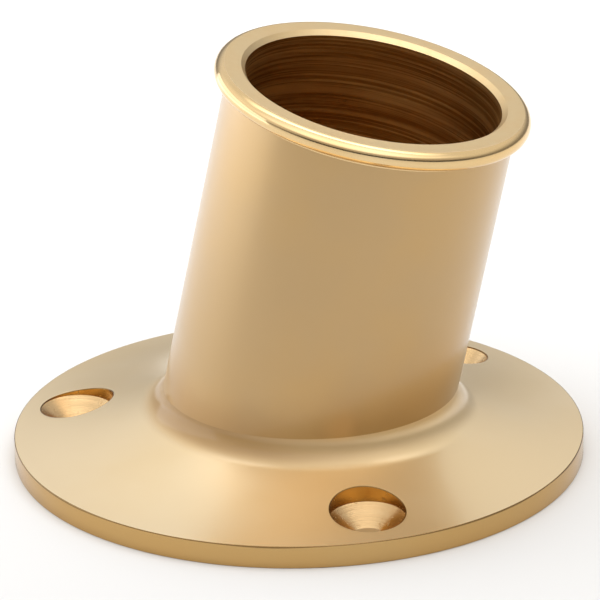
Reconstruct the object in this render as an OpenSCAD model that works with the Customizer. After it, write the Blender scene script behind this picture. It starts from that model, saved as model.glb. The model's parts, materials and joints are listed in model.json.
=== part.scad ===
// Raked stanchion base for a boat's deck: a domed round flange with three countersunk
// fixing holes, a leaning socket tube let into it, a half-round bead round the mouth,
// and a set screw that locks the stanchion.
//
// The origin is the centre of the flange's underside, with +Z up. The tube leans
// towards +X, and the part is the same on both sides of the XZ plane but for the screw.
// The flange is a mesh, because its fillet runs into a leaning tube. Its holes are true.

/* [Socket] */
// Bore that the stanchion slides into
bore_d = 38.1; // [30:0.1:46]
// Wall of the socket tube
tube_wall = 2.45; // [1.8:0.05:4]
// Length of the tube along its axis, from the deck to the mouth
socket_len = 60; // [45:0.5:120]
// Lean of the tube away from upright, in degrees
rake = 12; // [0:0.5:15]
// Height at which the tube's axis crosses the flange's axis
axis_z = 1.5; // [0:0.1:10]
// Chamfer at the mouth of the bore
mouth_chamfer = 0.7; // [0.2:0.1:1.5]

/* [Rim bead] */
// How far the bead stands out from the tube
bead_proud = 2; // [1.6:0.1:4]
// Height of the bead, which is also the diameter of its rounded outside
bead_h = 3; // [2:0.1:3.2]

/* [Flange] */
// Diameter of the flange
flange_d = 85; // [82:0.5:140]
// Height of the flange's upright edge
edge_h = 3.4; // [3:0.1:8]
// Slope of the dome where it leaves the edge, as rise over run
dome_slope = 0.106; // [0.05:0.002:0.2]
// Height that the dome would gain between its edge and the flange's axis
dome_rise = 15.3; // [10:0.1:20]
// Radius of the fillet between the dome and the tube
fillet_r = 4; // [2:0.1:6]
// Thickness of the flange's lip where the fillet ends on the tube
lip_t = 0.25; // [0.2:0.05:1]

/* [Fixing holes] */
// Number of fixing holes, one of them opposite the lean
hole_count = 3; // [3:1:4]
// Distance from the flange's edge to each hole's centre
hole_inset = 8.2; // [7.5:0.1:12]
// Diameter of the through hole
screw_hole_d = 4.5; // [3:0.1:6]
// Diameter of the recess for the screw's head
head_d = 11; // [8:0.1:12]
// Angle across the countersink, in degrees
countersink_angle = 100; // [90:1:120]
// Height of the plain hole below the countersink
hole_land = 0.8; // [0.5:0.1:3]

/* [Set screw] */
// Diameter of the tapped hole for the set screw
set_screw_d = 6; // [4:0.5:8]
// Length of the set screw
set_screw_len = 5; // [4:0.5:10]
// Distance of the screw from the deck, along the tube's axis
set_screw_at = 30; // [24:0.5:40]
// Gap between the screw and its hole, on the radius
screw_clearance = 0.05; // [0.02:0.01:0.1]
// Gap between the bore and the tip of the backed-off screw
tip_gap = 0.1; // [0:0.05:1]
// Width of the screw's hexagon socket across its flats
key_af = 3; // [2:0.5:4]
// Depth of the screw's hexagon socket
key_depth = 2; // [1:0.1:3]

/* [Hidden] */

$fn = 96;
azimuth_steps = 96;
dome_steps = 8;
fillet_steps = 6;
over = 1; // how far a cutting shape runs past the surface it cuts
seam_turn = 40; // turns a hole's seam off the flange's own mesh lines

flange_r = flange_d / 2;
bore_r = bore_d / 2;
tube_r = bore_r + tube_wall;
collar_r = tube_r + lip_t;
bead_r = bead_h / 2;
dome_curve = (dome_rise - dome_slope * flange_r) / pow(flange_r, 2);

hole_circle_r = flange_r - hole_inset;
hole_r = screw_hole_d / 2;
head_r = head_d / 2;
seat_z = hole_land + (head_r - hole_r) / tan(countersink_angle / 2);

set_screw_r = set_screw_d / 2 - screw_clearance;
screw_bevel = set_screw_r * 0.2;
key_r = key_af / 2 / cos(30);

// Height of the dome at a distance r from the flange's axis
function dome_z(r) = edge_h + dome_slope * (flange_r - r) + dome_curve * pow(flange_r - r, 2);

// Angle by which the dome falls outwards at r
function dome_angle(r) = atan(dome_slope + 2 * dome_curve * (flange_r - r));

// Distance from the flange's axis to the collar's leaning wall, at azimuth a and height z:
// where a ray meets the ellipse that the leaning cylinder makes at that height
function wall_r(a, z) =
    let (
        across = collar_r / cos(rake),
        shift = (z - axis_z) * tan(rake),
        p = pow(cos(a) / across, 2) + pow(sin(a) / collar_r, 2),
        q = shift * cos(a) / pow(across, 2),
        s = pow(shift / across, 2) - 1
    )
    (q + sqrt(q * q - p * s)) / p;

// Angle by which that wall leans outwards
function wall_angle(a, z) = atan(wall_r(a, z + 0.5) - wall_r(a, z - 0.5));

// Centre [r, z] of the fillet's arc when the arc meets the dome at r
function fillet_centre(r) = [
    r + fillet_r * sin(dome_angle(r)),
    dome_z(r) + fillet_r * cos(dome_angle(r))
];

// Where the arc meets the dome at azimuth a: each pass moves the arc until it touches the wall
function fillet_foot(a, r = collar_r + fillet_r, passes = 8) =
    passes == 0 ? r :
    let (
        z = fillet_centre(r)[1],
        touching = wall_r(a, z) + fillet_r / cos(wall_angle(a, z)),
        next = touching - fillet_r * sin(dome_angle(r))
    )
    fillet_foot(a, next, passes - 1);

// Section [r, z] of the flange's outside at azimuth a, from the underside up to the lip
function flange_section(a) =
    let (
        foot = fillet_foot(a),
        centre = fillet_centre(foot),
        from = 270 - dome_angle(foot),
        to = 180 - wall_angle(a, centre[1])
    )
    concat(
        [[flange_r, 0]],
        [for (i = [0 : dome_steps])
            let (r = flange_r + (foot - flange_r) * i / dome_steps) [r, dome_z(r)]],
        [for (i = [1 : fillet_steps])
            let (turn = from + (to - from) * i / fillet_steps)
            centre + fillet_r * [cos(turn), sin(turn)]]
    );

// Everything inside is drawn along the leaning tube, with its axis as Z and the deck at 0
module along_tube() {
    translate([-axis_z * tan(rake), 0, 0])
        rotate([0, rake, 0])
            children();
}

// Everything inside is drawn along the set screw, with Z pointing out through the wall
module along_set_screw() {
    along_tube()
        translate([0, 0, set_screw_at])
            rotate([-90, 0, 0])
                children();
}

// The flange's outside as one closed mesh: a ring of sections, a flat underside and a top
module flange_blank() {
    sections = [
        for (k = [0 : azimuth_steps - 1])
            let (a = 360 * k / azimuth_steps)
            [for (p = flange_section(a)) [p[0] * cos(a), p[0] * sin(a), p[1]]]
    ];
    rings = len(sections[0]);
    corners = [for (section = sections) each section];
    low = len(corners);
    high = low + 1;
    top_z = (sections[0][rings - 1][2] + sections[azimuth_steps / 2][rings - 1][2]) / 2;
    sides = [
        for (k = [0 : azimuth_steps - 1])
            let (here = k * rings, next = ((k + 1) % azimuth_steps) * rings)
            for (j = [0 : rings - 2])
                each [
                    [here + j, here + j + 1, next + j + 1],
                    [here + j, next + j + 1, next + j]
                ]
    ];
    caps = [
        for (k = [0 : azimuth_steps - 1])
            let (here = k * rings, next = ((k + 1) % azimuth_steps) * rings)
            each [
                [low, here, next],
                [high, next + rings - 1, here + rings - 1]
            ]
    ];
    polyhedron(concat(corners, [[0, 0, 0], [0, 0, top_z]]), concat(sides, caps));
}

// One fixing hole on the Z axis: plain hole, countersink and head recess
module fixing_hole() {
    translate([0, 0, -over])
        cylinder(r = hole_r, h = hole_land + 2 * over);
    translate([0, 0, hole_land])
        cylinder(r1 = hole_r, r2 = head_r, h = seat_z - hole_land);
    translate([0, 0, seat_z])
        cylinder(r = head_r, h = dome_rise);
}

module base_flange() {
    color("goldenrod")
        difference() {
            flange_blank();
            along_tube()
                translate([0, 0, -tube_r])
                    cylinder(r = tube_r, h = socket_len + tube_r);
            for (k = [0 : hole_count - 1])
                rotate([0, 0, 180 + 360 * k / hole_count])
                    translate([hole_circle_r, 0, 0])
                        rotate([0, 0, seam_turn])
                            fixing_hole();
        }
}

module socket_tube() {
    color("gold")
        difference() {
            along_tube()
                translate([0, 0, -tube_r])
                    cylinder(r = tube_r, h = socket_len + tube_r);
            along_tube()
                translate([0, 0, -tube_r - over])
                    cylinder(r = bore_r, h = socket_len + tube_r + 2 * over);
            along_tube()
                translate([0, 0, socket_len - mouth_chamfer])
                    cylinder(r1 = bore_r, r2 = bore_r + mouth_chamfer, h = mouth_chamfer);
            along_set_screw()
                translate([0, 0, bore_r - over])
                    cylinder(d = set_screw_d, h = tube_wall + 2 * over);
            // the tube's foot is cut off level with the flange's underside
            translate([-flange_r, -flange_r, -flange_r])
                cube([flange_d, flange_d, flange_r]);
        }
}

module rim_bead() {
    straight = bead_proud - bead_r;
    color("khaki")
        along_tube()
            translate([0, 0, socket_len - bead_r])
                rotate_extrude()
                    union() {
                        translate([tube_r, -bead_r])
                            square([straight, bead_h]);
                        intersection() {
                            translate([tube_r + straight, 0])
                                circle(r = bead_r);
                            translate([tube_r + straight, -bead_r])
                                square([bead_r, bead_h]);
                        }
                    }
}

module set_screw() {
    color("silver")
        along_set_screw()
            translate([0, 0, bore_r + tip_gap])
                difference() {
                    union() {
                        cylinder(r1 = set_screw_r - screw_bevel, r2 = set_screw_r, h = screw_bevel);
                        translate([0, 0, screw_bevel])
                            cylinder(r = set_screw_r, h = set_screw_len - 2 * screw_bevel);
                        translate([0, 0, set_screw_len - screw_bevel])
                            cylinder(r1 = set_screw_r, r2 = set_screw_r - screw_bevel, h = screw_bevel);
                    }
                    translate([0, 0, set_screw_len - key_depth])
                        cylinder(r = key_r, h = key_depth + over, $fn = 6);
                }
}

base_flange();
socket_tube();
rim_bead();
set_screw();
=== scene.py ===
"""Looks of a raked brass stanchion base: flange, socket tube, rim bead and set screw.

Every surface is worked out with numpy from the frame's own sizes. Lengths are in metres.
"""

import json
import math

import bmesh
import bpy
import numpy as np
from mathutils import Matrix, Vector


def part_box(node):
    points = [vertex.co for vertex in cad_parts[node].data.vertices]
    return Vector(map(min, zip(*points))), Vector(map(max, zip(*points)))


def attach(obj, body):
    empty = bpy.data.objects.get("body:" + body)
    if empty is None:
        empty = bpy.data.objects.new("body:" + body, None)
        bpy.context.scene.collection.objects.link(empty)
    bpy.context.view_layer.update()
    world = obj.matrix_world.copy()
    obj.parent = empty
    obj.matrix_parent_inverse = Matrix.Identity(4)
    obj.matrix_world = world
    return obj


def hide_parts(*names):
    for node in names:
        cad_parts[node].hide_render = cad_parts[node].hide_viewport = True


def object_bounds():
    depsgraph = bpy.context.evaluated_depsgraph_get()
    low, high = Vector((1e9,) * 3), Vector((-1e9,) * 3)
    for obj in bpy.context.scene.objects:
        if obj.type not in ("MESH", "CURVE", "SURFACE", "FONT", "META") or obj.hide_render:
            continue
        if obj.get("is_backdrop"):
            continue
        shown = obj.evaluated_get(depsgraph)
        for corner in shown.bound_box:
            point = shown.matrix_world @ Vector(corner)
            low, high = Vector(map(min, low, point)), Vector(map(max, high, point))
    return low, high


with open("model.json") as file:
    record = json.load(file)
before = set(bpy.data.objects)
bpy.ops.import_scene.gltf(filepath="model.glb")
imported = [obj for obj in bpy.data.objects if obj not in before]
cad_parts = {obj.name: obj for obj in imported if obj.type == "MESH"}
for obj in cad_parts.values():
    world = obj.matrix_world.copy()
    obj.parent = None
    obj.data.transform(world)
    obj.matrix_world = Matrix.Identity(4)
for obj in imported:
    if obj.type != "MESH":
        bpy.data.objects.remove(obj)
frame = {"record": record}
cad_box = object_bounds()

MM = 0.001

# ---------------------------------------------------------------- sizes from the frame
mounts = {m["name"]: m for m in frame["record"]["mounts"]}
bore = mounts["stanchion_bore"]
holes = mounts["fixing_holes"]["dims"]


def half_width(node, axis):
    """Half of a CAD node's extent along an axis, 0 for X and 1 for Y."""
    low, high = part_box(node)
    return (high[axis] - low[axis]) / 2


FLANGE_R = half_width("base_flange", 0)
TUBE_R = half_width("socket_tube", 1)
BORE_R = bore["dims"]["r_mm"] * MM
HOLE_CIRCLE_R = holes["pcd_mm"] / 2 * MM
HOLE_R = holes["hole_r_mm"] * MM
HOLE_ANGLES = np.radians([60.0, 180.0, 300.0])

# the tube's own axes: UP along it, OUT across it in the lean's plane, SIDE towards the screw
UP = np.array(bore["axis"]) / np.linalg.norm(bore["axis"])
RAKE = math.atan2(UP[0], UP[2])
OUT = np.array([math.cos(RAKE), 0.0, -math.sin(RAKE)])
SIDE = np.array([0.0, 1.0, 0.0])
FOOT = np.array(bore["pos_m"]) - UP * (bore["pos_m"][2] / UP[2])

MOUTH_CHAMFER = 0.7 * MM
RUBBED = 0.05 * MM  # what facing and polishing took off the mouth
MOUTH = bore["dims"]["length_mm"] * MM - BORE_R * math.tan(RAKE) + MOUTH_CHAMFER - RUBBED

# the flange's dome, as in the design
EDGE_H = 3.4 * MM
DOME_SLOPE = 0.106
DOME_RISE = 15.3 * MM
DOME_CURVE = (DOME_RISE - DOME_SLOPE * FLANGE_R) / FLANGE_R**2
FILLET_R = 4 * MM
AXIS_Z = -FOOT[0] / math.tan(RAKE)
HEAD_R = 5.5 * MM
HOLE_LAND = 0.8 * MM
COUNTERSINK = math.radians(100)
SEAT_Z = HOLE_LAND + (HEAD_R - HOLE_R) / math.tan(COUNTERSINK / 2)

# small rounds that polishing leaves
EDGE_ROUND = 0.14 * MM
FOOT_ROUND = 0.15 * MM
HOLE_ROUND = 0.12 * MM
HAIR = 0.01 * MM  # how far the fillet stops short of the tube

# the bead, whose round meets the end face at a slight crease
BEAD_R = 1.5 * MM
BEAD_DROP = 1.465 * MM  # from the mouth down to the middle of the bead's round
BEAD_WELD = 0.5 * MM

# the set screw
SCREW_AT = 30 * MM
SCREW_HOLE_R = 3 * MM
SCREW_R = 2.95 * MM
SCREW_LEN = 5 * MM
SCREW_TIP = BORE_R + 0.1 * MM
SCREW_PITCH = 1.0 * MM
KEY_HALF = 1.5 * MM
KEY_DEPTH = 2 * MM


# ---------------------------------------------------------------- mesh making
def stack(x, y, z):
    """Three arrays that broadcast together, as one array of points."""
    return np.stack(np.broadcast_arrays(x, y, z), axis=-1)


def blend(start, end, steps):
    """Straight steps from one row of values to another: start times 1 - t plus end times t."""
    start, end = np.broadcast_arrays(np.asarray(start, float), np.asarray(end, float))
    t = np.linspace(0.0, 1.0, steps + 1).reshape((-1,) + (1,) * start.ndim)
    return start * (1 - t) + end * t


def quads(rows, columns, first):
    """Corner numbers of the quads between neighbouring rows and columns of a grid."""
    n = first + np.arange(rows * columns).reshape(rows, columns)
    return np.stack([n[:-1, :-1], n[1:, :-1], n[1:, 1:], n[:-1, 1:]], axis=-1).reshape(-1, 4)


WELD = 1e-6
SHARP = math.radians(28)


def solid(name, patches, body, node):
    """One closed piece from patches, each a grid of points and its material.

    The patches share their border points, so welding closes the skin. Edges that turn by
    more than SHARP stay crisp, and the rest is smooth.
    """
    finishes = list(dict.fromkeys(finish for _, finish in patches))
    first, corners, faces, numbers = 0, [], [], []
    for grid, finish in patches:
        rows, columns = grid.shape[:2]
        made = quads(rows, columns, first)
        corners.append(grid.reshape(-1, 3))
        faces.append(made)
        numbers.append(np.full(len(made), finishes.index(finish)))
        first += rows * columns
    mesh = bpy.data.meshes.new(name)
    mesh.from_pydata(np.concatenate(corners).tolist(), [], np.concatenate(faces).tolist())
    mesh.polygons.foreach_set("material_index", np.concatenate(numbers))
    welded = bmesh.new()
    welded.from_mesh(mesh)
    bmesh.ops.remove_doubles(welded, verts=welded.verts, dist=WELD)
    bmesh.ops.dissolve_degenerate(welded, edges=welded.edges, dist=WELD / 10)
    bmesh.ops.recalc_face_normals(welded, faces=welded.faces)
    welded.to_mesh(mesh)
    welded.free()
    for finish in finishes:
        mesh.materials.append(finish)
    mesh.polygons.foreach_set("use_smooth", np.ones(len(mesh.polygons), bool))
    mesh.set_sharp_from_angle(angle=SHARP)
    piece = bpy.data.objects.new(name, mesh)
    bpy.context.scene.collection.objects.link(piece)
    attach(piece, body)
    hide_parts(node)
    return piece


def around_flange(r, angle, z):
    """Points at a distance r from the flange's axis."""
    return stack(r * np.cos(angle), r * np.sin(angle), z)


def around_tube(r, angle, along):
    """Points at a distance r from the tube's axis, and along it from the deck."""
    across, side = r * np.cos(angle), r * np.sin(angle)
    along = np.broadcast_to(along, np.broadcast(across, along).shape)
    return FOOT + across[..., None] * OUT + side[..., None] * SIDE + along[..., None] * UP


def around_screw(r, angle, out):
    """Points at a distance r from the set screw's axis, and out along it from the tube's."""
    across, along = r * np.cos(angle), SCREW_AT + r * np.sin(angle)
    out = np.broadcast_to(out, np.broadcast(across, out).shape)
    return FOOT + across[..., None] * OUT + along[..., None] * UP + out[..., None] * SIDE


def frame_loop(low, high, across, down):
    """The border of a rectangle as one closed run of (first, second) values.

    It goes along the top at high[1], down, back along the bottom at low[1], and up.
    """
    first, second = np.linspace(low[0], high[0], across + 1), np.linspace(high[1], low[1], down + 1)
    top = stack(first, high[1], 0)[:, :2]
    right = stack(high[0], second, 0)[1:, :2]
    bottom = stack(first[::-1], low[1], 0)[1:, :2]
    left = stack(low[0], second[::-1], 0)[1:, :2]
    return np.concatenate([top, right, bottom, left])


# ---------------------------------------------------------------- shader making
class Value:
    """A shader socket. Python's operators on it add Math nodes to its material."""

    def __init__(self, finish, socket):
        self.finish = finish
        self.socket = socket

    def math(self, operation, *others):
        made = self.finish.add("ShaderNodeMath", {"operation": operation}, [self, *others])
        return Value(self.finish, made.outputs[0])

    def __add__(self, other):
        return self.math("ADD", other)

    __radd__ = __add__

    def __mul__(self, other):
        return self.math("MULTIPLY", other)

    __rmul__ = __mul__

    def __sub__(self, other):
        return self.math("SUBTRACT", other)

    def __rsub__(self, other):
        return self * -1.0 + other

    def step(self, low, high):
        """0 up to low, 1 from high, and a smooth rise between them."""
        made = self.finish.add(
            "ShaderNodeMapRange",
            {"interpolation_type": "SMOOTHSTEP"},
            {"Value": self, "From Min": low, "From Max": high},
        )
        return Value(self.finish, made.outputs["Result"])


class Finish:
    """A node tree, of a material or of the world, and the one way to add nodes to it."""

    def __init__(self, owner, output):
        owner.use_nodes = True
        self.owner = owner
        self.tree = owner.node_tree
        self.tree.nodes.clear()
        self.output = self.add(output)

    def add(self, kind, settings=None, inputs=None):
        """A node of a kind: its settings are set first, then its sockets, by name or in order."""
        node = self.tree.nodes.new(kind)
        for key, value in (settings or {}).items():
            setattr(node, key, value)
        pairs = inputs.items() if isinstance(inputs, dict) else enumerate(inputs or [])
        for key, value in pairs:
            if isinstance(value, Value):
                value = value.socket
            if isinstance(value, bpy.types.NodeSocket):
                self.tree.links.new(value, node.inputs[key])
            else:
                node.inputs[key].default_value = value
        return node

    def value(self, kind, settings=None, inputs=None, output=0):
        return Value(self, self.add(kind, settings, inputs).outputs[output])

    def noise(self, place, scale, detail=2.0, roughness=0.5, distortion=0.0):
        sizes = {"Vector": place, "Scale": scale, "Detail": detail, "Roughness": roughness}
        return self.value("ShaderNodeTexNoise", {}, {**sizes, "Distortion": distortion}, "Fac")

    def moved(self, place, location=(0, 0, 0), rotation=(0, 0, 0), scale=(1, 1, 1)):
        sizes = {"Vector": place, "Location": location, "Rotation": rotation, "Scale": scale}
        return self.value("ShaderNodeMapping", {}, sizes, "Vector")

    def mix(self, share, first, second):
        """A colour between two: first where share is 0 and second where it is 1."""
        made = self.add("ShaderNodeMix", {"data_type": "RGBA"}, {"Factor": share})
        for socket, colour in (("A", first), ("B", second)):
            target = [s for s in made.inputs if s.name == socket and s.type == "RGBA"][0]
            if isinstance(colour, Value):
                self.tree.links.new(colour.socket, target)
            else:
                target.default_value = (*colour, 1.0)
        return Value(self, [s for s in made.outputs if s.type == "RGBA"][0])

    def bump(self, height, depth, strength=1.0, normal=None):
        sizes = {"Height": height, "Distance": depth, "Strength": strength}
        if normal is not None:
            sizes["Normal"] = normal
        return self.value("ShaderNodeBump", {}, sizes, "Normal")


def metal(name, colour, roughness, before=None, **fixed):
    """A metal finish. before makes the nodes of what varies, and fixed sets sockets by name."""
    finish = Finish(bpy.data.materials.new(name), "ShaderNodeOutputMaterial")
    settings = {"Metallic": 1.0, **{key.replace("_", " "): value for key, value in fixed.items()}}
    shader = finish.add("ShaderNodeBsdfPrincipled", {}, settings)
    varying = {"Base Color": (*colour, 1.0), "Roughness": roughness}
    if before:
        varying.update(before(finish))
    for key, value in varying.items():
        if isinstance(value, Value):
            finish.tree.links.new(value.socket, shader.inputs[key])
        else:
            shader.inputs[key].default_value = value
    finish.tree.links.new(shader.outputs["BSDF"], finish.output.inputs["Surface"])
    return finish.owner


def object_place(finish):
    return finish.value("ShaderNodeTexCoord", {}, {}, "Object")


def tube_place(finish):
    """Object coordinates turned so that Z runs along the tube."""
    turned = Matrix.Rotation(-RAKE, 3, "Y") @ Vector(FOOT)
    return finish.moved(object_place(finish), tuple(-turned), (0, -RAKE, 0))


# ---------------------------------------------------------------- the brass
BRASS = (0.84, 0.63, 0.34)
BRASS_WARM = (0.78, 0.52, 0.23)
# painted shade: a darker copy of the brass for the tube, standing in for the darker floor that the tube
# reflects
BRASS_TUBE_PAINTED_SHADE = (0.515, 0.342, 0.157)
BRASS_PALE = (0.87, 0.68, 0.41)
# painted shade: a darker copy of the brass for the flange's upright edge, also used in the tube's tone
BRASS_EDGE_PAINTED_SHADE = (0.555, 0.35, 0.135)
# painted reflection: the dark line under the flange edge's top corner
BRASS_PAINTED_REFLECTION = (0.16, 0.09, 0.035)
# painted shade: a darker copy of the brass for the fixing holes' recess walls
BRASS_RECESS_PAINTED_SHADE = (0.50, 0.28, 0.07)
BRASS_SEAT = (0.62, 0.42, 0.21)
BRASS_DULL = (0.55, 0.36, 0.15)
# painted shade: the darker colour given to the fillet round the tube's foot
BRASS_PAINTED_SHADE = (0.45, 0.285, 0.115)
BRASS_BORE = (0.44, 0.22, 0.045)
BRASS_STREAK = (0.88, 0.60, 0.25)


def axis_distance(finish, at):
    """Distance from the axis that Z runs along."""
    flat = finish.value("ShaderNodeVectorMath", {"operation": "MULTIPLY"}, [at, (1.0, 1.0, 0.0)])
    return finish.value("ShaderNodeVectorMath", {"operation": "LENGTH"}, [flat], "Value")


def height(finish, at):
    """Distance along the axis that Z runs along."""
    up = (0.0, 0.0, 1.0)
    return finish.value("ShaderNodeVectorMath", {"operation": "DOT_PRODUCT"}, [at, up], "Value")


def hand_polish(place, base, worn, gloss, corner=0.0, painted_shade=0.4):
    """Polished brass: faint cloudy tone, hazy patches, ripples from the mop and fine hairlines.

    The corner round the tube's foot is out of the mop's reach. There, corner is added to the
    roughness, and dull is the share of BRASS_PAINTED_SHADE in the colour: painted shade that darkens
    the fillet round the foot.
    """

    def nodes(finish):
        at = place(finish)
        cloud = finish.noise(at, 38.0, 3.0, 0.55)
        haze = finish.noise(at, 120.0, 4.0, 0.6)
        hair = finish.noise(finish.moved(at, scale=(30.0, 30.0, 300.0)), 1.0, 1.0, 0.5)
        ripple = finish.noise(at, 55.0, 1.0, 0.4)
        along = tube_place(finish)
        inside = 1.0 - axis_distance(finish, along).step(TUBE_R + 0.5 * MM, TUBE_R + 3.1 * MM)
        low = 1.0 - (height(finish, along) + ripple * 4 * MM).step(10 * MM, 19 * MM)
        foot = inside * low
        tone = finish.mix(cloud.step(0.35, 0.65) * 0.75, base, worn)
        # painted shade: the fillet round the tube's foot is darkened in its colour
        tone = finish.mix(foot * painted_shade, tone, BRASS_PAINTED_SHADE)
        normal = finish.bump(ripple, 0.03 * MM)
        return {
            "Base Color": tone,
            "Roughness": haze * 0.08 + hair * 0.03 + gloss + foot * corner,
            "Normal": normal,
        }

    return nodes


def turned_bore(finish):
    """The unpolished bore: dark, with turning marks that run round it in uneven bands."""
    at = tube_place(finish)
    fine = finish.noise(finish.moved(at, scale=(25.0, 25.0, 2600.0)), 1.0, 4.0, 0.65)
    band = finish.noise(finish.moved(at, scale=(18.0, 18.0, 420.0)), 1.0, 3.0, 0.6)
    smear = finish.noise(finish.moved(at, scale=(60.0, 60.0, 300.0)), 1.0, 2.0, 0.5)
    tone = finish.mix((band * 0.4 + fine * 0.6).step(0.42, 0.6), BRASS_BORE, BRASS_STREAK)
    normal = finish.bump(fine, 0.04 * MM)
    normal = finish.bump(band, 0.08 * MM, 0.8, normal)
    return {"Base Color": tone, "Roughness": smear * 0.25 + 0.22, "Normal": normal}


def faced_rim(finish):
    """The end face: fine rings round the tube's axis, cut by facing, under a light rub."""
    at = tube_place(finish)
    reach = axis_distance(finish, at) * 5000.0
    rings = finish.value(
        "ShaderNodeTexNoise", {"noise_dimensions": "1D"}, {"W": reach, "Detail": 2.0}, "Fac"
    )
    rub = finish.noise(at, 260.0, 3.0, 0.6)
    tone = finish.mix(rub.step(0.35, 0.75) * 0.4, BRASS, BRASS_WARM)
    tone = finish.mix(rings.step(0.3, 0.7) * 0.3, tone, BRASS_PALE)
    normal = finish.bump(rings * 0.8 + rub * 0.4, 0.02 * MM)
    return {"Base Color": tone, "Roughness": rub * 0.12 + 0.32, "Normal": normal}


def cut_seat(base, gloss):
    """A drilled or countersunk surface: rings round each hole from the cutter, pits and specks."""

    def nodes(finish):
        at = object_place(finish)
        flat = finish.value("ShaderNodeVectorMath", {"operation": "MULTIPLY"}, [at, (1.0, 1.0, 0.0)])
        reach = None
        for angle in HOLE_ANGLES:
            centre = (HOLE_CIRCLE_R * math.cos(angle), HOLE_CIRCLE_R * math.sin(angle), 0.0)
            there = finish.value("ShaderNodeVectorMath", {"operation": "DISTANCE"}, [flat, centre], "Value")
            reach = there if reach is None else reach.math("MINIMUM", there)
        rings = finish.value(
            "ShaderNodeTexNoise", {"noise_dimensions": "1D"}, {"W": reach * 5000.0, "Detail": 3.0}, "Fac"
        )
        pits = finish.noise(at, 1500.0, 3.0, 0.6).step(0.62, 0.75)
        tone = finish.mix(pits * 0.6, base, BRASS_DULL)
        normal = finish.bump(rings - pits, 0.02 * MM)
        return {"Base Color": tone, "Roughness": pits * 0.2 + gloss, "Normal": normal}

    return nodes


def turned_edge_painted_shade(finish):
    """The flange's upright edge: turning marks round it, on a darker copy of the brass that is
    painted shade, and a dark line under its top corner that is a painted reflection. The line's
    mask also darkens all of this finish that stands higher, such as the fixing holes' lips.
    """
    at = object_place(finish)
    lines = finish.noise(finish.moved(at, scale=(30.0, 30.0, 4000.0)), 1.0, 2.0, 0.5)
    cloud = finish.noise(at, 70.0, 2.0, 0.5)
    wander = finish.noise(finish.moved(at, scale=(1.0, 1.0, 0.0)), 45.0, 1.0, 0.5)
    # mask of the painted dark reflection line; it also covers the fixing holes' lips, which stand higher
    top = (height(finish, at) + wander * 0.7 * MM).step(EDGE_H + 0.1 * MM, EDGE_H + 0.22 * MM)
    tone = finish.mix(cloud.step(0.4, 0.7) * 0.5, BRASS_EDGE_PAINTED_SHADE, BRASS_DULL)
    tone = finish.mix(top * 0.75, tone, BRASS_PAINTED_REFLECTION)
    normal = finish.bump(lines, 0.01 * MM)
    return {"Base Color": tone, "Roughness": cloud * 0.1 + 0.12, "Normal": normal}


def screw_steel(finish):
    """Plain stainless steel with a faint grain."""
    grain = finish.noise(object_place(finish), 1800.0, 3.0, 0.6)
    return {"Roughness": grain * 0.2 + 0.22, "Normal": finish.bump(grain, 0.004 * MM)}


LACQUER = {"Coat_Weight": 0.6, "Coat_Roughness": 0.14}
# the flange's finish: its fillet round the tube's foot gets the full painted shade
flange_finish_painted_shade = hand_polish(object_place, BRASS_PALE, BRASS, 0.26, 0.38, 1.0)
flange_brass_painted_shade = metal("flange_brass_painted_shade", BRASS_PALE, 0.3, flange_finish_painted_shade, Metallic=0.75, **LACQUER)
# the tube's brass is a darker copy of the brass: painted shade
tube_finish_painted_shade = hand_polish(tube_place, BRASS_TUBE_PAINTED_SHADE, BRASS_EDGE_PAINTED_SHADE, 0.27, 0.34, 0.0)
tube_brass_painted_shade = metal("tube_brass_painted_shade", BRASS_TUBE_PAINTED_SHADE, 0.3, tube_finish_painted_shade, Metallic=0.9, **LACQUER)
bead_brass = metal("bead_brass", BRASS, 0.12, hand_polish(tube_place, BRASS, BRASS_WARM, 0.05), Metallic=0.95)
# the upright edge and the holes' lips: painted shade, and a painted dark reflection line
edge_brass_painted_shade = metal("edge_brass_painted_shade", BRASS_EDGE_PAINTED_SHADE, 0.2, turned_edge_painted_shade)
# the recess walls: painted shade
recess_brass_painted_shade = metal("recess_brass_painted_shade", BRASS_RECESS_PAINTED_SHADE, 0.25, cut_seat(BRASS_RECESS_PAINTED_SHADE, 0.2))
bore_brass = metal("bore_brass", BRASS_BORE, 0.4, before=turned_bore)
face_brass = metal("face_brass", BRASS, 0.3, before=faced_rim)
seat_brass = metal("seat_brass", BRASS_SEAT, 0.3, cut_seat(BRASS_SEAT, 0.2))
screw_metal = metal("screw_metal", (0.62, 0.61, 0.58), 0.3, before=screw_steel)


# ---------------------------------------------------------------- the flange
def dome_z(r):
    """Height of the dome: the edge, plus a slope and a square term that grow inwards."""
    return EDGE_H + DOME_SLOPE * (FLANGE_R - r) + DOME_CURVE * (FLANGE_R - r) ** 2


def dome_angle(r):
    """Angle by which the dome falls outwards."""
    return np.arctan(DOME_SLOPE + 2 * DOME_CURVE * (FLANGE_R - r))


def wall_r(angle, z, radius):
    """Distance from the flange's axis to a leaning cylinder: a ray meets its ellipse at height z."""
    across = radius / math.cos(RAKE)
    shift = (z - AXIS_Z) * math.tan(RAKE)
    p = (np.cos(angle) / across) ** 2 + (np.sin(angle) / radius) ** 2
    q = shift * np.cos(angle) / across**2
    s = (shift / across) ** 2 - 1
    return (q + np.sqrt(q * q - p * s)) / p


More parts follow.
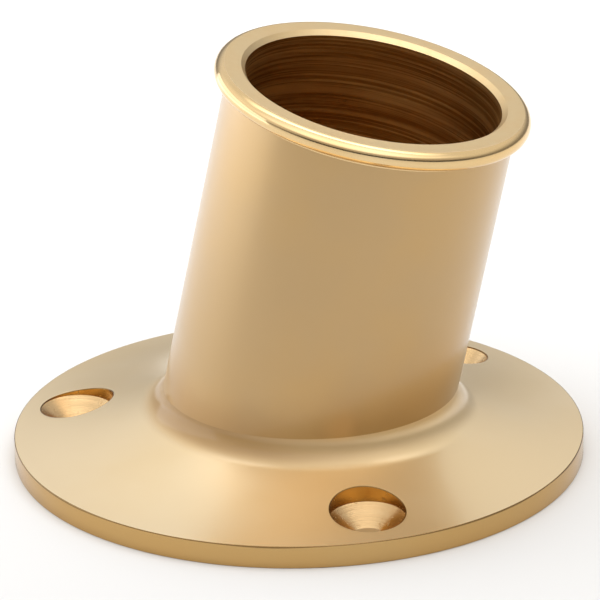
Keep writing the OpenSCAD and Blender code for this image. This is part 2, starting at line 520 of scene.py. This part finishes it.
def fillet_rows(angle, steps):
    """The fillet as rows of (r, z): an arc that touches the dome and the leaning wall.

    Each pass moves the arc's foot out or in until the arc touches the wall.
    """
    reach = TUBE_R + HAIR
    foot = np.full_like(angle, reach + FILLET_R)
    for _ in range(12):
        fall = dome_angle(foot)
        z = dome_z(foot) + FILLET_R * np.cos(fall)
        lean = np.arctan((wall_r(angle, z + MM, reach) - wall_r(angle, z - MM, reach)) / (2 * MM))
        foot = wall_r(angle, z, reach) + FILLET_R / np.cos(lean) - FILLET_R * np.sin(fall)
    fall = dome_angle(foot)
    centre_r, centre_z = foot + FILLET_R * np.sin(fall), dome_z(foot) + FILLET_R * np.cos(fall)
    turn = blend(1.5 * math.pi - fall, math.pi - lean, steps)
    return centre_r + FILLET_R * np.cos(turn), centre_z + FILLET_R * np.sin(turn)


def pierced_ring(angles, outer, inner, steps, block, hole_radius, height):
    """A ring of the flange, in plan, with a round opening round each fixing hole.

    Round each hole the grid is a fan: straight steps from a block's border to the opening.
    Between the blocks it is a plain polar grid. height gives z from the distance.
    hole_radius gives each opening's radius from its points' directions.
    Returns the patches, and for each hole its centre and the directions of its points.
    """
    patches, fans = [], []
    period = (len(angles) - 1) // len(HOLE_ANGLES)
    for k, hole_angle in enumerate(HOLE_ANGLES):
        start = period * k
        plain = angles[start + block : start + period + 1]
        r = np.linspace(outer, inner, steps + 1)[:, None]
        patches.append(around_flange(r, plain, height(r)))
        border = frame_loop((angles[start], inner), (angles[start + block], outer), block, steps)
        edge = np.stack([border[:, 1] * np.cos(border[:, 0]), border[:, 1] * np.sin(border[:, 0])], -1)
        centre = HOLE_CIRCLE_R * np.array([math.cos(hole_angle), math.sin(hole_angle)])
        away = (edge - centre) / np.linalg.norm(edge - centre, axis=1, keepdims=True)
        rim = centre + hole_radius(centre, away)[:, None] * away
        plan = blend(edge, rim, 10)
        patches.append(stack(plan[..., 0], plan[..., 1], height(np.hypot(plan[..., 0], plan[..., 1]))))
        fans.append((centre, away))
    return patches, fans


def hole_rounds(centre, away):
    """How far the opening's polished round reaches: less where the recess is shallow."""
    rim = centre + HEAD_R * away
    depth = dome_z(np.hypot(rim[:, 0], rim[:, 1])) - SEAT_Z
    return np.minimum(HOLE_ROUND, 0.45 * depth)


def hole_lining(centre, away):
    """The inside of a fixing hole, from its rounded lip through recess, countersink and hole."""
    round_r = hole_rounds(centre, away)
    lip = centre + (HEAD_R + round_r)[:, None] * away
    top = dome_z(np.hypot(lip[:, 0], lip[:, 1]))
    turn = np.linspace(0, math.pi / 2, 6)[:, None]
    lip_r = HEAD_R + round_r * (1 - np.sin(turn))
    lip_z = top - round_r * (1 - np.cos(turn))
    seat_r = np.append(blend(HEAD_R, HOLE_R, 4), HOLE_R)[:, None] + 0 * top
    seat_z = np.append(blend(SEAT_Z, HOLE_LAND, 4), 0.0)[:, None] + 0 * top

    def rows(r, z):
        plan = centre + r[..., None] * away
        return stack(plan[..., 0], plan[..., 1], z)

    wall = rows(np.stack([lip_r[-1], seat_r[0]]), np.stack([lip_z[-1], seat_z[0]]))
    return rows(lip_r, lip_z), wall, rows(seat_r, seat_z)


def make_flange():
    step = math.radians(1.0)
    block = 27
    angles = HOLE_ANGLES[0] + (np.arange(361) - block / 2) * step
    fan_outer, fan_inner = FLANGE_R - 1.4 * MM, HOLE_CIRCLE_R - HEAD_R - 1.2 * MM

    # the outside edge: a small round, the upright wall, a round and the dome's first stretch
    slope = math.atan(DOME_SLOPE)
    low_turn = np.linspace(-math.pi / 2, 0, 5)
    high_turn = np.linspace(0, math.pi / 2 - slope, 9)
    high_z = EDGE_H + EDGE_ROUND * (math.tan(slope) - 1 / math.cos(slope))
    high_r = FLANGE_R - EDGE_ROUND + EDGE_ROUND * np.cos(high_turn)
    edge_r = np.concatenate([FLANGE_R - FOOT_ROUND + FOOT_ROUND * np.cos(low_turn), high_r])
    edge_z = np.concatenate(
        [FOOT_ROUND + FOOT_ROUND * np.sin(low_turn), high_z + EDGE_ROUND * np.sin(high_turn)]
    )
    dome_r = np.linspace(edge_r[-1], fan_outer, 6)
    dome_h = np.concatenate([edge_z[-1:], dome_z(dome_r[1:])])
    patches = [
        (around_flange(edge_r[:, None], angles, edge_z[:, None]), edge_brass_painted_shade),
        (around_flange(dome_r[:, None], angles, dome_h[:, None]), flange_brass_painted_shade),
    ]

    # the dome round the holes, and the linings of the holes
    def lip_radius(centre, away):
        return HEAD_R + hole_rounds(centre, away)

    top, fans = pierced_ring(angles, fan_outer, fan_inner, 27, block, lip_radius, dome_z)
    patches += [(patch, flange_brass_painted_shade) for patch in top]
    for centre, away in fans:
        lip, wall, seat = hole_lining(centre, away)
        patches += [(lip, edge_brass_painted_shade), (wall, recess_brass_painted_shade), (seat, seat_brass)]

    # the dome's last stretch, the fillet, and the leaning seat that holds the tube
    fillet_r, fillet_z = fillet_rows(angles, 16)
    inner_r = blend(fan_inner, fillet_r[0], 10)
    patches.append((around_flange(inner_r, angles, dome_z(inner_r)), flange_brass_painted_shade))
    patches.append((around_flange(fillet_r, angles, fillet_z), flange_brass_painted_shade))
    lip_z = fillet_z[-1]
    seat_top = wall_r(angles, lip_z, TUBE_R)
    seat_low = wall_r(angles, 0.0, TUBE_R)
    lip = [around_flange(fillet_r[-1], angles, lip_z), around_flange(seat_top, angles, lip_z)]
    patches.append((np.stack(lip), flange_brass_painted_shade))
    seat = [around_flange(seat_top, angles, lip_z), around_flange(seat_low, angles, 0.0)]
    patches.append((np.stack(seat), seat_brass))

    # the underside
    def flat(r):
        return np.zeros_like(r)

    def plain_radius(centre, away):
        return np.full(len(away), HOLE_R)

    under_outer = np.array([edge_r[0], fan_outer])[:, None]
    patches.append((around_flange(under_outer, angles, flat(under_outer)), seat_brass))
    low, _ = pierced_ring(angles, fan_outer, fan_inner, 27, block, plain_radius, flat)
    patches += [(patch, seat_brass) for patch in low]
    under_inner = blend(fan_inner, seat_low, 2)
    patches.append((around_flange(under_inner, angles, flat(under_inner)), seat_brass))
    return solid("flange", patches, "base", "base_flange")


# ---------------------------------------------------------------- the tube
def make_tube():
    step, block = math.radians(1.5), 18
    angles = math.pi / 2 + (np.arange(241) - block / 2) * step
    low_end, high_end = SCREW_AT - 5 * MM, SCREW_AT + 5 * MM

    def cut_foot(r):
        """Where the tube ends on the deck's plane: further up on the side it leans to."""
        return r * np.cos(angles) * math.tan(RAKE)

    def wall(r, top, finish):
        """The wall at radius r, with a round opening for the screw, and the opening's points."""
        rest = angles[block:]
        border = frame_loop((angles[0], low_end), (angles[block], high_end), block, 14)
        turn = np.arctan2(border[:, 1] - SCREW_AT, TUBE_R * (math.pi / 2 - border[:, 0]))
        across, along = SCREW_HOLE_R * np.cos(turn), SCREW_AT + SCREW_HOLE_R * np.sin(turn)
        opening = np.stack([np.arctan2(np.sqrt(r * r - across**2), across), along], -1)
        fan = blend(border, opening, 8)
        rows = [
            around_tube(r, angles, blend(cut_foot(r), low_end, 8)),
            around_tube(r, rest, np.linspace(low_end, high_end, 15)[:, None]),
            around_tube(r, angles, np.linspace(high_end, top, 13)[:, None]),
            around_tube(r, fan[..., 0], fan[..., 1]),
        ]
        return [(patch, finish) for patch in rows], around_tube(r, opening[:, 0], opening[:, 1])

    outside, outer_opening = wall(TUBE_R, MOUTH, tube_brass_painted_shade)
    inside, inner_opening = wall(BORE_R, MOUTH - MOUTH_CHAMFER, bore_brass)
    patches = outside + inside
    patches.append((np.stack([outer_opening, inner_opening]), bore_brass))
    mouth_r = BORE_R + MOUTH_CHAMFER
    face_r = np.linspace(TUBE_R, mouth_r, 5)[:, None]
    patches.append((around_tube(face_r, angles, MOUTH), face_brass))
    chamfer_r, chamfer_at = blend(mouth_r, BORE_R, 3)[:, None], blend(MOUTH, MOUTH - MOUTH_CHAMFER, 3)
    patches.append((around_tube(chamfer_r, angles, chamfer_at[:, None]), face_brass))
    foot = [around_tube(TUBE_R, angles, cut_foot(TUBE_R)), around_tube(BORE_R, angles, cut_foot(BORE_R))]
    patches.append((np.stack(foot), face_brass))
    return solid("tube", patches, "base", "socket_tube")


# ---------------------------------------------------------------- the bead
def make_bead():
    angles = np.radians(np.linspace(0, 360, 289))
    middle_r, middle_at = TUBE_R + BEAD_WELD, MOUTH - BEAD_DROP
    low_at = middle_at - BEAD_R - BEAD_WELD
    weld = np.linspace(math.pi, math.pi / 2, 7)
    weld_r, weld_at = middle_r + BEAD_WELD * np.cos(weld), low_at + BEAD_WELD * np.sin(weld)
    turn = np.linspace(-math.pi / 2, math.asin(BEAD_DROP / BEAD_R), 25)
    round_r, round_at = middle_r + BEAD_R * np.cos(turn), middle_at + BEAD_R * np.sin(turn)
    outside_r, outside_at = np.concatenate([weld_r, round_r]), np.concatenate([weld_at, round_at])
    face_r = np.linspace(round_r[-1], TUBE_R, 4)[:, None]
    inner_at = np.linspace(MOUTH, low_at, 3)[:, None]
    patches = [
        (around_tube(outside_r[:, None], angles, outside_at[:, None]), bead_brass),
        (around_tube(face_r, angles, MOUTH), face_brass),
        (around_tube(TUBE_R, angles, inner_at), face_brass),
    ]
    return solid("bead", patches, "base", "rim_bead")


# ---------------------------------------------------------------- the set screw
def make_set_screw():
    angles = np.radians(np.linspace(0, 360, 97))
    bevel, depth = 0.2 * SCREW_R, 0.5 * MM
    out = np.linspace(0, SCREW_LEN, 101)[:, None]
    turn = out / SCREW_PITCH - angles / (2 * math.pi)
    saw = np.abs((turn % 1.0) * 2 - 1)
    thread = SCREW_R - depth * np.clip(saw * 1.3 - 0.15, 0, 1)
    # the bevels cut the thread off at both ends
    ends = SCREW_R - bevel + np.minimum(out, SCREW_LEN - out)
    wall = around_screw(np.minimum(thread, ends), angles, SCREW_TIP + out)

    sixth = math.pi / 3
    hexagon = KEY_HALF / np.cos((angles % sixth) - sixth / 2)
    face_r = blend(np.minimum(thread, ends)[-1], hexagon, 3)
    tip_r = blend(np.minimum(thread, ends)[0], 0.0 * angles, 3)
    floor_r = blend(hexagon, 0.0 * angles, 2)
    high, low = SCREW_TIP + SCREW_LEN, SCREW_TIP + SCREW_LEN - KEY_DEPTH
    patches = [
        (wall, screw_metal),
        (around_screw(face_r, angles, high), screw_metal),
        (around_screw(np.stack([hexagon, hexagon]), angles, np.array([[high], [low]])), screw_metal),
        (around_screw(floor_r, angles, low - 0.3 * KEY_HALF * (1 - floor_r / hexagon)), screw_metal),
        (around_screw(tip_r, angles, SCREW_TIP), screw_metal),
    ]
    return solid("set_screw_steel", patches, "set_screw", "set_screw")


make_flange()
make_tube()
make_bead()
make_set_screw()


# ---------------------------------------------------------------- floor, light and camera
def facing(target, place):
    """Rotation that points an object's -Z from a place to a target, with its Y upwards."""
    return (Vector(target) - Vector(place)).to_track_quat("-Z", "Y")


def softbox(name, place, size, power, spread=180, target=(0.0, 0.0, 0.03), tint=(1.0, 1.0, 1.0)):
    """A rectangular studio light that the camera doesn't see."""
    lamp = bpy.data.lights.new(name, "AREA")
    lamp.shape = "RECTANGLE"
    lamp.size, lamp.size_y = size
    lamp.energy = power
    lamp.color = tint
    lamp.spread = math.radians(spread)
    light = bpy.data.objects.new(name, lamp)
    bpy.context.scene.collection.objects.link(light)
    light.location = place
    light.rotation_mode = "QUATERNION"
    light.rotation_quaternion = facing(target, place)
    light.visible_camera = False
    return light


VIEW_TURN = math.radians(13.5)
VIEW_RISE = math.radians(22.21)
VIEW_ROLL = math.radians(0.876)
VIEW_RANGE = 0.8316
LOOK_AT = Vector((0.00046, 0.00011, 0.02404))


def seen_from(turn, rise, distance):
    """A point at an angle round and above the object, where 0 is the camera's own side."""
    a = VIEW_TURN + math.radians(turn)
    e = math.radians(rise)
    return distance * Vector((math.sin(a) * math.cos(e), -math.cos(a) * math.cos(e), math.sin(e)))


def make_floor():
    reach = 4.0
    mesh = bpy.data.meshes.new("floor")
    corners = [(-reach, -reach, 0), (reach, -reach, 0), (reach, reach, 0), (-reach, reach, 0)]
    mesh.from_pydata([(x, y, -0.00002) for x, y, _ in corners], [], [(0, 1, 2, 3)])
    floor = bpy.data.objects.new("floor", mesh)
    bpy.context.scene.collection.objects.link(floor)
    finish = Finish(bpy.data.materials.new("floor_paper"), "ShaderNodeOutputMaterial")
    paper = finish.add(
        "ShaderNodeBsdfPrincipled", {}, {"Base Color": (0.8, 0.795, 0.785, 1.0), "Roughness": 0.9}
    )
    finish.tree.links.new(paper.outputs["BSDF"], finish.output.inputs["Surface"])
    mesh.materials.append(finish.owner)
    floor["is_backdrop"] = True


AHEAD_DIM = 0.35
DARK_DIM = 0.42
HORIZON_DIM = 0.6
LEFT_GLOW = 0.3
OVERHEAD_GLOW = 0.2
FRONT_GLOW = 0.85


def make_world():
    """A studio tent: bright overhead and to the left, dimmer ahead and all round the horizon."""
    world = bpy.data.worlds.new("studio")
    bpy.context.scene.world = world
    finish = Finish(world, "ShaderNodeOutputWorld")
    way = finish.value("ShaderNodeTexCoord", {}, {}, "Generated")

    def towards(turn, rise):
        aim = tuple(seen_from(turn, rise, 1.0))
        return finish.value("ShaderNodeVectorMath", {"operation": "DOT_PRODUCT"}, [way, aim], "Value")

    rise = finish.value("ShaderNodeVectorMath", {"operation": "DOT_PRODUCT"}, [way, (0, 0, 1)], "Value")
    front = towards(0, 0).step(-0.2, 0.6)
    ahead = front * (1.0 - rise.step(0.42, 0.7))
    dark = front * (1.0 - rise.step(0.2, 0.3))
    horizon = (1.0 - rise.step(0.1, 0.5)) * (1.0 - front)
    left = towards(-100, 5).step(0.5, 0.9)
    overhead = rise.step(0.7, 0.95)
    strength = 0.85 - ahead * AHEAD_DIM - dark * DARK_DIM - horizon * HORIZON_DIM
    glow = left * LEFT_GLOW + overhead * OVERHEAD_GLOW + front * rise.step(0.42, 0.7) * FRONT_GLOW
    strength = (strength + glow).math("MAXIMUM", 0.03)
    tint = finish.mix(ahead, (1.0, 1.0, 1.0), (1.0, 0.94, 0.88))
    sky = finish.add("ShaderNodeBackground", {}, {"Color": tint, "Strength": strength})
    finish.tree.links.new(sky.outputs["Background"], finish.output.inputs["Surface"])


def make_camera():
    """The camera: a long lens, turned, raised and rolled, with no shift and no blur."""
    view = bpy.data.cameras.new("view")
    view.lens = 337.0
    view.clip_start, view.clip_end = 0.01, 50.0
    camera = bpy.data.objects.new("view", view)
    bpy.context.scene.collection.objects.link(camera)
    camera.location = LOOK_AT + seen_from(0, math.degrees(VIEW_RISE), VIEW_RANGE)
    camera.rotation_mode = "QUATERNION"
    roll = Matrix.Rotation(-VIEW_ROLL, 4, "Z").to_quaternion()
    camera.rotation_quaternion = facing(LOOK_AT, camera.location) @ roll
    bpy.context.scene.camera = camera


make_floor()
make_world()
make_camera()
BACK = seen_from(180, 60, 0.6)
softbox("back_light", BACK, (0.9, 0.5), 0.8, 80, BACK * Vector((1, 1, 0)))
softbox("left_light", seen_from(-108, 10, 0.27), (0.36, 0.22), 0.27, tint=(0.92, 1.0, 1.15))

scene = bpy.context.scene
scene.view_settings.view_transform = "Standard"
scene.view_settings.look = "None"

boxes = {"cad": cad_box, "visual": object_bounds()}
{name: [list(corner) for corner in box] for name, box in boxes.items()}
